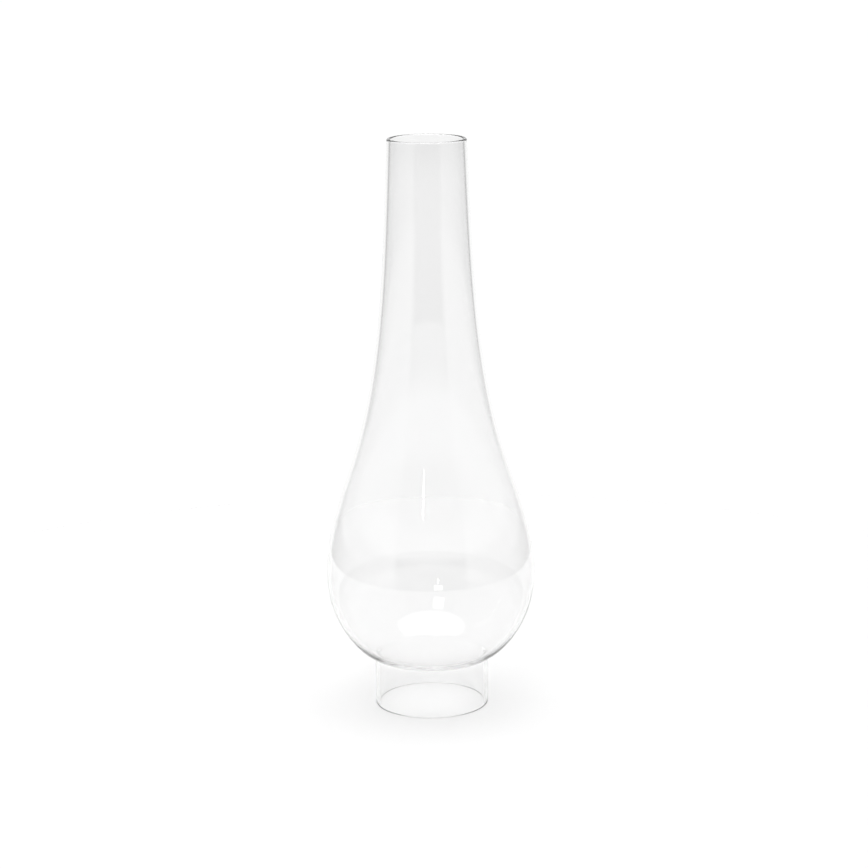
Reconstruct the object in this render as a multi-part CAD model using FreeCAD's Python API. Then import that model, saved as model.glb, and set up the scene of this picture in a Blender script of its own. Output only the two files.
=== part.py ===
"""Clear blown-glass chimney of a kerosene lamp, in millimetres.

The chimney is one piece of glass: a straight fitter that the burner's spring prongs hold, a pear-shaped belly
around the flame, and a tall neck that draws the air up. It is one shell turned about +Z. The origin is the middle
of the foot rim, so the chimney stands on Z = 0.
"""
import FreeCAD, Part
import math
import os
from FreeCAD import Vector

# driving dimensions
HEIGHT = 248.5                # foot rim to the top of the lip
FITTER_RADIUS = 24.7          # outside: a nominal 50 mm (2 in) fitter
FITTER_STRAIGHT = 20.0        # height where the fitter starts to turn out into the belly
FITTER_WALL = 1.5
FOOT_EDGE = 0.4               # melted edges of the ground foot rim
SHOULDER_FILLET = 2.0         # outside radius of the turn between fitter and belly
SHOULDER_RISE = 27.0          # degrees above level, the belly's direction where it leaves the turn
SHOULDER_RUN = 6.0            # how far that direction leads the belly's outline
LIP_RADIUS = 17.0             # outside, at the lip
LIP_WALL = 1.6                # a little thicker than the neck, as a fire-polished lip is
LIP_TAPER = 2.2               # degrees, how much the neck still narrows at the lip
LIP_RUN = 25.0                # how far that taper leads the neck's outline

# control points of the belly and neck between the two ends: height, outside radius, wall
BODY_CONTROLS = [
    (32.5, 38.5, 1.3),
    (48.5, 45.4, 1.2),
    (68.5, 45.7, 1.2),
    (90.5, 40.4, 1.2),
    (116.5, 30.5, 1.3),
    (148.5, 23.6, 1.4),
    (188.5, 19.3, 1.5),
]


def towards(degrees):
    """The unit direction at an angle in the section, where X is the radius and Z the height."""
    angle = math.radians(degrees)
    return Vector(math.cos(angle), 0, math.sin(angle))


def arc(centre, radius, start, end):
    """A circular arc of the section, from one angle to another in degrees."""
    middle = (start + end) / 2
    return Part.Arc(*[centre + towards(degrees) * radius for degrees in (start, middle, end)])


def inward(before, after):
    """The unit direction from the outside towards the glass, square to the line between two outline points."""
    along = (after - before).normalize()
    return Vector(-along.z, 0, along.x)


def body_curves(outer_turn, inner_turn, lip_bead):
    """The outside and inside curves of the belly and neck, from the shoulder turn up to the lip bead.

    Each is one curvature-continuous curve. The inside one has the same control points moved in by the wall.
    """
    lead_out = towards(SHOULDER_RISE) * SHOULDER_RUN
    lead_in = towards(LIP_TAPER - 90) * LIP_RUN
    outer_start, inner_start = outer_turn.EndPoint, inner_turn.EndPoint
    outer_end, inner_end = lip_bead.StartPoint, lip_bead.EndPoint

    outer = [Vector(radius, 0, height) for height, radius, wall in BODY_CONTROLS]
    outer = [outer_start, outer_start + lead_out, *outer, outer_end + lead_in, outer_end]
    inner = []
    for index, (height, radius, wall) in enumerate(BODY_CONTROLS, start=2):
        inner.append(outer[index] + inward(outer[index - 1], outer[index + 1]) * wall)
    inner = [inner_start, inner_start + lead_out, *inner, inner_end + lead_in, inner_end]

    curves = []
    for controls in (outer, inner):
        curve = Part.BSplineCurve()
        curve.buildFromPoles(controls, False, 3)
        curves.append(curve)
    return curves


def glass_chimney():
    """The whole chimney, as its closed section turned once about the axis."""
    fitter_bore = FITTER_RADIUS - FITTER_WALL

    # foot rim: a narrow flat ring with melted edges
    outer_edge = arc(Vector(FITTER_RADIUS - FOOT_EDGE, 0, FOOT_EDGE), FOOT_EDGE, -90, 0)
    inner_edge = arc(Vector(fitter_bore + FOOT_EDGE, 0, FOOT_EDGE), FOOT_EDGE, 180, 270)
    foot = Part.LineSegment(inner_edge.EndPoint, outer_edge.StartPoint)

    # shoulder: outside and inside arcs about one centre, so the wall stays even through the turn
    turn = Vector(FITTER_RADIUS + SHOULDER_FILLET, 0, FITTER_STRAIGHT)
    turn_end = 90 + SHOULDER_RISE
    outer_turn = arc(turn, SHOULDER_FILLET, 180, turn_end)
    inner_turn = arc(turn, SHOULDER_FILLET + FITTER_WALL, 180, turn_end)

    # lip: a half-round bead across the wall
    bead = LIP_WALL / 2
    lip_bead = arc(Vector(LIP_RADIUS - bead, 0, HEIGHT - bead), bead, LIP_TAPER, LIP_TAPER + 180)

    outer_body, inner_body = body_curves(outer_turn, inner_turn, lip_bead)
    outer_fitter = Part.LineSegment(outer_edge.EndPoint, outer_turn.StartPoint)
    inner_fitter = Part.LineSegment(inner_turn.StartPoint, inner_edge.StartPoint)

    section = [foot, outer_edge, outer_fitter, outer_turn, outer_body,
               lip_bead, inner_body, inner_turn, inner_fitter, inner_edge]
    wire = Part.Wire(Part.__sortEdges__([curve.toShape() for curve in section]))
    return Part.Face(wire).revolve(Vector(0, 0, 0), Vector(0, 0, 1), 360)


os.makedirs("parts", exist_ok=True)
chimney = glass_chimney()
chimney.exportStep("parts/glass_chimney.step")
print("valid", chimney.isValid(), chimney.ShapeType, "volume", round(chimney.Volume), "mm3")
print("box", chimney.BoundBox)
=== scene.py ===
"""Clear blown-glass oil lamp chimney, standing on a pale floor in a studio. Lengths are in metres."""
import math

import bpy
import numpy as np
from mathutils import Matrix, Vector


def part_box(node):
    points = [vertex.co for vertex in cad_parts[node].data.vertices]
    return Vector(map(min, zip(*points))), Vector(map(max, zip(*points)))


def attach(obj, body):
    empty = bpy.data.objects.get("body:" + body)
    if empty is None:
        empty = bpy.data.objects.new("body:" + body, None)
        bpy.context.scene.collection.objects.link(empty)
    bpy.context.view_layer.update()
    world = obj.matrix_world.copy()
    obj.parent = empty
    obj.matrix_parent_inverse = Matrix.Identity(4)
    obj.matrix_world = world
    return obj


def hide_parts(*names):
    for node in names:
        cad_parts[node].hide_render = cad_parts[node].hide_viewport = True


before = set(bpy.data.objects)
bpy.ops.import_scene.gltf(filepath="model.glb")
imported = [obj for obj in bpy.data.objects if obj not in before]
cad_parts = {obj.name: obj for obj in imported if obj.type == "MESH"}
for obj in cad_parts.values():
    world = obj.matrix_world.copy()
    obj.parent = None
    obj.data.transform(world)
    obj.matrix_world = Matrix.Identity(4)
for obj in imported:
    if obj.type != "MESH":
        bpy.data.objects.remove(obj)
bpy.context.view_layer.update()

NODE = "glass_chimney"
low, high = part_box(NODE)
HEIGHT = high.z - low.z

# camera, in the chimney's own height and in degrees
CAMERA_DISTANCE = 4.310 * HEIGHT
CAMERA_HEIGHT = 1.503 * HEIGHT
CAMERA_SIDE = 0.0079 * HEIGHT
CAMERA_PITCH = 13.277
CAMERA_ROLL = -0.536
CAMERA_LENS = 105.75
CAMERA_SENSOR = 36.0

# lathe mesh of the glass
SEGMENTS = 192
LONGEST_STEP = 0.0015
LARGEST_TURN = math.radians(7)
FINE_POINTS = 4000            # points along one side of the outline while its turning is measured
TURN_WINDOW = 9               # fine points over which the outline's direction is averaged, an odd number

# glass
GLASS_IOR = 1.5
GLASS_SHADE = 0.9
GLASS_DENSITY = 80.0          # the glass absorbs light at (1 - GLASS_SHADE) * GLASS_DENSITY per metre
GLASS_TINTS = (0.985, 0.976)  # its surface where it is cleanest and least clean
TINT_NOISE = (14.0, 0.6)      # patches of the tint: scale, and the share of it that counts upright
LIP_TINT = 0.952            # its surface at the lip, a little greyer than below
LIP_REACH = 0.02            # how far down from the lip the greying reaches
WAVE_DEPTH = 0.00002          # faint upright waves that blowing leaves in the glass
WAVE_NOISE = (55.0, 0.12)     # those waves, in the same way

# floor: a round board
FLOOR_RADIUS = 1.45 * HEIGHT
FLOOR_SIDES = 128
FLOOR_SHADE = 0.795
FLOOR_UNEVENNESS = 0.004
FLOOR_NOISE = (8.0, 1.0)

# brightness of the room round the chimney, at levels from below the floor up to overhead. Each level has
# the elevations over which it takes over from the one below, and its brightness at azimuths from the front
# (0) round to the back (180), alike on both sides. Angles are in degrees.
ROOM_LEVELS = [
    ((-91, -90), [(0, 0.35), (34, 0.35), (40, 1.02), (180, 1.02)]),
    ((-15, -12), [(0, 0.32), (38, 0.32), (43, 0.58), (60, 0.52), (130, 0.45), (142, 0.55), (152, 1.02)]),
    ((-4, -1), [(0, 0.10), (38, 0.10), (43, 0.53), (65, 0.53), (110, 0.70), (140, 0.75), (158, 1.02)]),
    ((3, 9), [(0, 0.80), (39, 0.80), (44, 1.0), (60, 0.95), (80, 0.90), (120, 0.90), (140, 0.95),
              (165, 1.02)]),
    ((15, 22), [(0, 0.48), (39, 0.48), (44, 0.62), (110, 0.80), (130, 0.85), (150, 1.0), (180, 1.02)]),
    ((60, 64), [(0, 3.0), (180, 3.0)]),
]

# lamps of the studio: name, then azimuth, elevation, width and height in degrees as seen from the chimney,
# and brightness
LAMP_DISTANCE = 24 * HEIGHT
LAMP_AIM = 0.3 * HEIGHT
LAMPS = [
    ("strip_lamp", -9.2, 24.2, 1.4, 5.7, 12.0),
    ("small_lamp", -10.0, 32.0, 10.0, 6.0, 3.5),
    ("large_lamp", -13.0, 49.5, 11.5, 13.0, 3.5),
]

# light paths through the glass surfaces and their reflections
MOST_BOUNCES = 24
MOST_GLOSSY_BOUNCES = 12


def make_camera():
    data = bpy.data.cameras.new("camera")
    data.lens = CAMERA_LENS
    data.sensor_width = CAMERA_SENSOR
    data.clip_start = 0.01
    data.clip_end = 100.0
    camera = bpy.data.objects.new("camera", data)
    place = Matrix.Translation((CAMERA_SIDE, -CAMERA_DISTANCE, CAMERA_HEIGHT))
    tilt = Matrix.Rotation(math.radians(90 - CAMERA_PITCH), 4, "X")
    roll = Matrix.Rotation(math.radians(CAMERA_ROLL), 4, "Z")
    camera.matrix_world = place @ tilt @ roll
    bpy.context.scene.collection.objects.link(camera)
    bpy.context.scene.camera = camera


def mesh_object(name, points, faces, smooth):
    mesh = bpy.data.meshes.new(name)
    mesh.from_pydata(points, [], faces)
    mesh.polygons.foreach_set("use_smooth", [smooth] * len(mesh.polygons))
    mesh.validate()
    mesh.update()
    piece = bpy.data.objects.new(name, mesh)
    bpy.context.scene.collection.objects.link(piece)
    return piece


def mesh_vectors(items, key):
    """One vector of each face or vertex of a mesh, as rows of three."""
    values = np.zeros(len(items) * 3)
    items.foreach_get(key, values)
    return values.reshape(-1, 3)


def cad_run(mesh, side):
    """One side of the CAD shell's outline, (radius, height) from the foot up: 1 is outside, -1 inside."""
    normals = mesh_vectors(mesh.polygons, "normal")
    centres = mesh_vectors(mesh.polygons, "center")
    places = mesh_vectors(mesh.vertices, "co")
    facing = side * (normals[:, :2] * centres[:, :2]).sum(axis=1) > 1e-3 * np.abs(centres[:, 0]).max()
    used = sorted({v for polygon, use in zip(mesh.polygons, facing) if use for v in polygon.vertices})
    run = np.column_stack([np.hypot(places[used, 0], places[used, 1]), places[used, 2]])
    return run[np.lexsort((run[:, 0], run[:, 1]))]


def resample(run):
    """The run with steps that are short where it turns and at most LONGEST_STEP elsewhere."""
    legs = np.linalg.norm(np.diff(run, axis=0), axis=1)
    along = np.concatenate([[0], np.cumsum(legs)])
    fine = np.linspace(0, along[-1], FINE_POINTS)
    radius = np.interp(fine, along, run[:, 0])
    height = np.interp(fine, along, run[:, 1])
    heading = np.unwrap(np.arctan2(np.gradient(height), np.gradient(radius)))
    padded = np.pad(heading, TURN_WINDOW // 2, mode="edge")
    heading = np.convolve(padded, np.ones(TURN_WINDOW) / TURN_WINDOW, mode="valid")
    turned = np.concatenate([[0], np.cumsum(np.abs(np.diff(heading)))])
    effort = fine / LONGEST_STEP + turned / LARGEST_TURN
    count = math.ceil(effort[-1])
    marks = np.interp(np.linspace(0, effort[-1], count + 1), effort, fine)
    return np.column_stack([np.interp(marks, fine, radius), np.interp(marks, fine, height)])


def glass_outline():
    """The closed outline of the shell: up the outside from the foot to the lip, then down the inside."""
    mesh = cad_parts[NODE].data
    outside = resample(cad_run(mesh, 1))
    inside = resample(cad_run(mesh, -1))
    return np.concatenate([outside, inside[-2::-1]])


def turned_mesh(outline):
    """The points and faces of a closed outline, (radius, height), turned once about +Z."""
    turns = np.arange(SEGMENTS) * (2 * math.pi / SEGMENTS)
    rings = len(outline)
    radius = outline[:, 0][:, None]
    height = np.repeat(outline[:, 1][:, None], SEGMENTS, axis=1)
    points = np.stack([radius * np.cos(turns), radius * np.sin(turns), height], axis=2).reshape(-1, 3)
    faces = []
    for ring in range(rings):
        lower = ring * SEGMENTS
        upper = (ring + 1) % rings * SEGMENTS
        for k in range(SEGMENTS):
            right = (k + 1) % SEGMENTS
            faces.append((lower + k, lower + right, upper + right, upper + k))
    return points.tolist(), faces


def make_chimney():
    points, faces = turned_mesh(glass_outline())
    piece = mesh_object("chimney_glass", points, faces, smooth=True)
    piece.data.materials.append(glass_material())
    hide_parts(NODE)
    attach(piece, "root")


def new_material(name):
    """A new material, with its nodes, its links and its Principled shader."""
    material = bpy.data.materials.new(name)
    material.use_nodes = True
    nodes = material.node_tree.nodes
    return material, nodes, material.node_tree.links, nodes["Principled BSDF"]


def glass_material():
    """Clear glass with a barely grey, slightly uneven tint and faint upright waves from the blowing."""
    material, nodes, links, shader = new_material("clear_glass")
    shader.inputs["Roughness"].default_value = 0.0
    shader.inputs["IOR"].default_value = GLASS_IOR
    shader.inputs["Transmission Weight"].default_value = 1.0
    place = nodes.new("ShaderNodeTexCoord").outputs["Object"]

    tints = [grey(tint) for tint in GLASS_TINTS]
    clean = blend_colours(nodes, stretched_noise(nodes, place, *TINT_NOISE), *tints)
    split = nodes.new("ShaderNodeSeparateXYZ")
    links.new(place, split.inputs["Vector"])
    # the tint turns a little greyer towards the lip
    lip_share = smooth_step(nodes, split.outputs["Z"], high.z - LIP_REACH, high.z)
    links.new(blend_colours(nodes, lip_share, clean, grey(LIP_TINT)), shader.inputs["Base Color"])

    bump = nodes.new("ShaderNodeBump")
    bump.inputs["Distance"].default_value = WAVE_DEPTH
    links.new(stretched_noise(nodes, place, *WAVE_NOISE), bump.inputs["Height"])
    links.new(bump.outputs["Normal"], shader.inputs["Normal"])

    absorption = nodes.new("ShaderNodeVolumeAbsorption")
    absorption.inputs["Color"].default_value = grey(GLASS_SHADE)
    absorption.inputs["Density"].default_value = GLASS_DENSITY
    links.new(absorption.outputs["Volume"], nodes["Material Output"].inputs["Volume"])
    return material


def floor_material():
    """Pale matt board, barely uneven."""
    material, nodes, links, shader = new_material("floor")
    shader.inputs["Roughness"].default_value = 0.9
    shader.inputs["Specular IOR Level"].default_value = 0.0
    place = nodes.new("ShaderNodeTexCoord").outputs["Object"]
    shades = [grey(FLOOR_SHADE - FLOOR_UNEVENNESS), grey(FLOOR_SHADE + FLOOR_UNEVENNESS)]
    shade = blend_colours(nodes, stretched_noise(nodes, place, *FLOOR_NOISE), *shades)
    links.new(shade, shader.inputs["Base Color"])
    return material


def grey(value):
    return (value, value, value, 1)


def feed(socket, value):
    """Give a node's input a link, if the value is another node's output, or else a constant."""
    if isinstance(value, bpy.types.NodeSocket):
        socket.id_data.links.new(value, socket)
    else:
        socket.default_value = value


def math_node(nodes, operation, *inputs):
    node = nodes.new("ShaderNodeMath")
    node.operation = operation
    for socket, value in zip(node.inputs, inputs):
        feed(socket, value)
    return node.outputs[0]


def stretched_noise(nodes, place, scale, upright):
    """Smooth noise. Its scale is multiplied by upright along Z, so below 1 its patches stand tall."""
    stretch = nodes.new("ShaderNodeMapping")
    stretch.inputs["Scale"].default_value = (1, 1, upright)
    feed(stretch.inputs["Vector"], place)
    noise = nodes.new("ShaderNodeTexNoise")
    noise.inputs["Scale"].default_value = scale
    noise.inputs["Detail"].default_value = 1.0
    feed(noise.inputs["Vector"], stretch.outputs["Vector"])
    return noise.outputs["Fac"]


def smooth_step(nodes, value, start, end):
    node = nodes.new("ShaderNodeMapRange")
    node.interpolation_type = "SMOOTHSTEP"
    node.inputs["From Min"].default_value = start
    node.inputs["From Max"].default_value = end
    feed(node.inputs["Value"], value)
    return node.outputs["Result"]


def blend_colours(nodes, factor, first, second):
    node = nodes.new("ShaderNodeMix")
    node.data_type = "RGBA"
    feed(node.inputs["Factor"], factor)
    feed(node.inputs["A"], first)
    feed(node.inputs["B"], second)
    return node.outputs["Result"]


def half_turns(nodes, x, y):
    """Azimuth from straight ahead, alike on both sides: 0 in front and 1 behind."""
    side = math_node(nodes, "ABSOLUTE", x)
    ahead = math_node(nodes, "MULTIPLY", y, -1)
    return math_node(nodes, "DIVIDE", math_node(nodes, "ARCTAN2", side, ahead), math.pi)


def ramp(nodes, stops, around):
    """Brightness round the room, eased between stops of (azimuth in degrees, brightness)."""
    node = nodes.new("ShaderNodeValToRGB")
    node.color_ramp.interpolation = "EASE"
    elements = node.color_ramp.elements
    while len(elements) < len(stops):
        elements.new(0.5)
    for element, (azimuth, brightness) in zip(elements, stops):
        element.position = azimuth / 180
        element.color = grey(brightness)
    feed(node.inputs["Fac"], around)
    return node.outputs["Color"]


def make_floor():
    turns = np.arange(FLOOR_SIDES) * 2 * math.pi / FLOOR_SIDES
    ring = [(FLOOR_RADIUS * math.cos(turn), FLOOR_RADIUS * math.sin(turn), 0) for turn in turns]
    floor = mesh_object("floor", ring, [tuple(range(FLOOR_SIDES))], smooth=False)
    floor.location.z = low.z
    floor.data.materials.append(floor_material())


def make_world():
    """The room's light, as ROOM_LEVELS gives it."""
    world = bpy.data.worlds.new("studio")
    bpy.context.scene.world = world
    world.use_nodes = True
    nodes = world.node_tree.nodes
    split = nodes.new("ShaderNodeSeparateXYZ")
    feed(split.inputs["Vector"], nodes.new("ShaderNodeTexCoord").outputs["Generated"])
    around = half_turns(nodes, split.outputs["X"], split.outputs["Y"])
    elevation = math_node(nodes, "DEGREES", math_node(nodes, "ARCSINE", split.outputs["Z"]))
    light = grey(0)
    for limits, stops in ROOM_LEVELS:
        taken_over = smooth_step(nodes, elevation, *limits)
        light = blend_colours(nodes, taken_over, light, ramp(nodes, stops, around))
    feed(nodes["Background"].inputs["Color"], light)


def make_lamps():
    for name, azimuth, elevation, width, height, brightness in LAMPS:
        data = bpy.data.lights.new(name, "AREA")
        data.shape = "RECTANGLE"
        data.size = 2 * LAMP_DISTANCE * math.tan(math.radians(width / 2))
        data.size_y = 2 * LAMP_DISTANCE * math.tan(math.radians(height / 2))
        data.energy = brightness * math.pi * data.size * data.size_y
        lamp = bpy.data.objects.new(name, data)
        turn = Matrix.Rotation(math.radians(azimuth), 4, "Z")
        tilt = Matrix.Rotation(math.radians(90 - elevation), 4, "X")
        centre = Matrix.Translation((0, 0, LAMP_AIM))
        lamp.matrix_world = centre @ turn @ tilt @ Matrix.Translation((0, 0, LAMP_DISTANCE))
        bpy.context.scene.collection.objects.link(lamp)


def set_render_look():
    scene = bpy.context.scene
    scene.view_settings.view_transform = "Standard"
    scene.view_settings.look = "None"
    scene.cycles.blur_glossy = 0.0
    scene.cycles.max_bounces = MOST_BOUNCES
    scene.cycles.transmission_bounces = MOST_BOUNCES
    scene.cycles.glossy_bounces = MOST_GLOSSY_BOUNCES


make_camera()
make_chimney()
make_floor()
make_world()
make_lamps()
set_render_look()
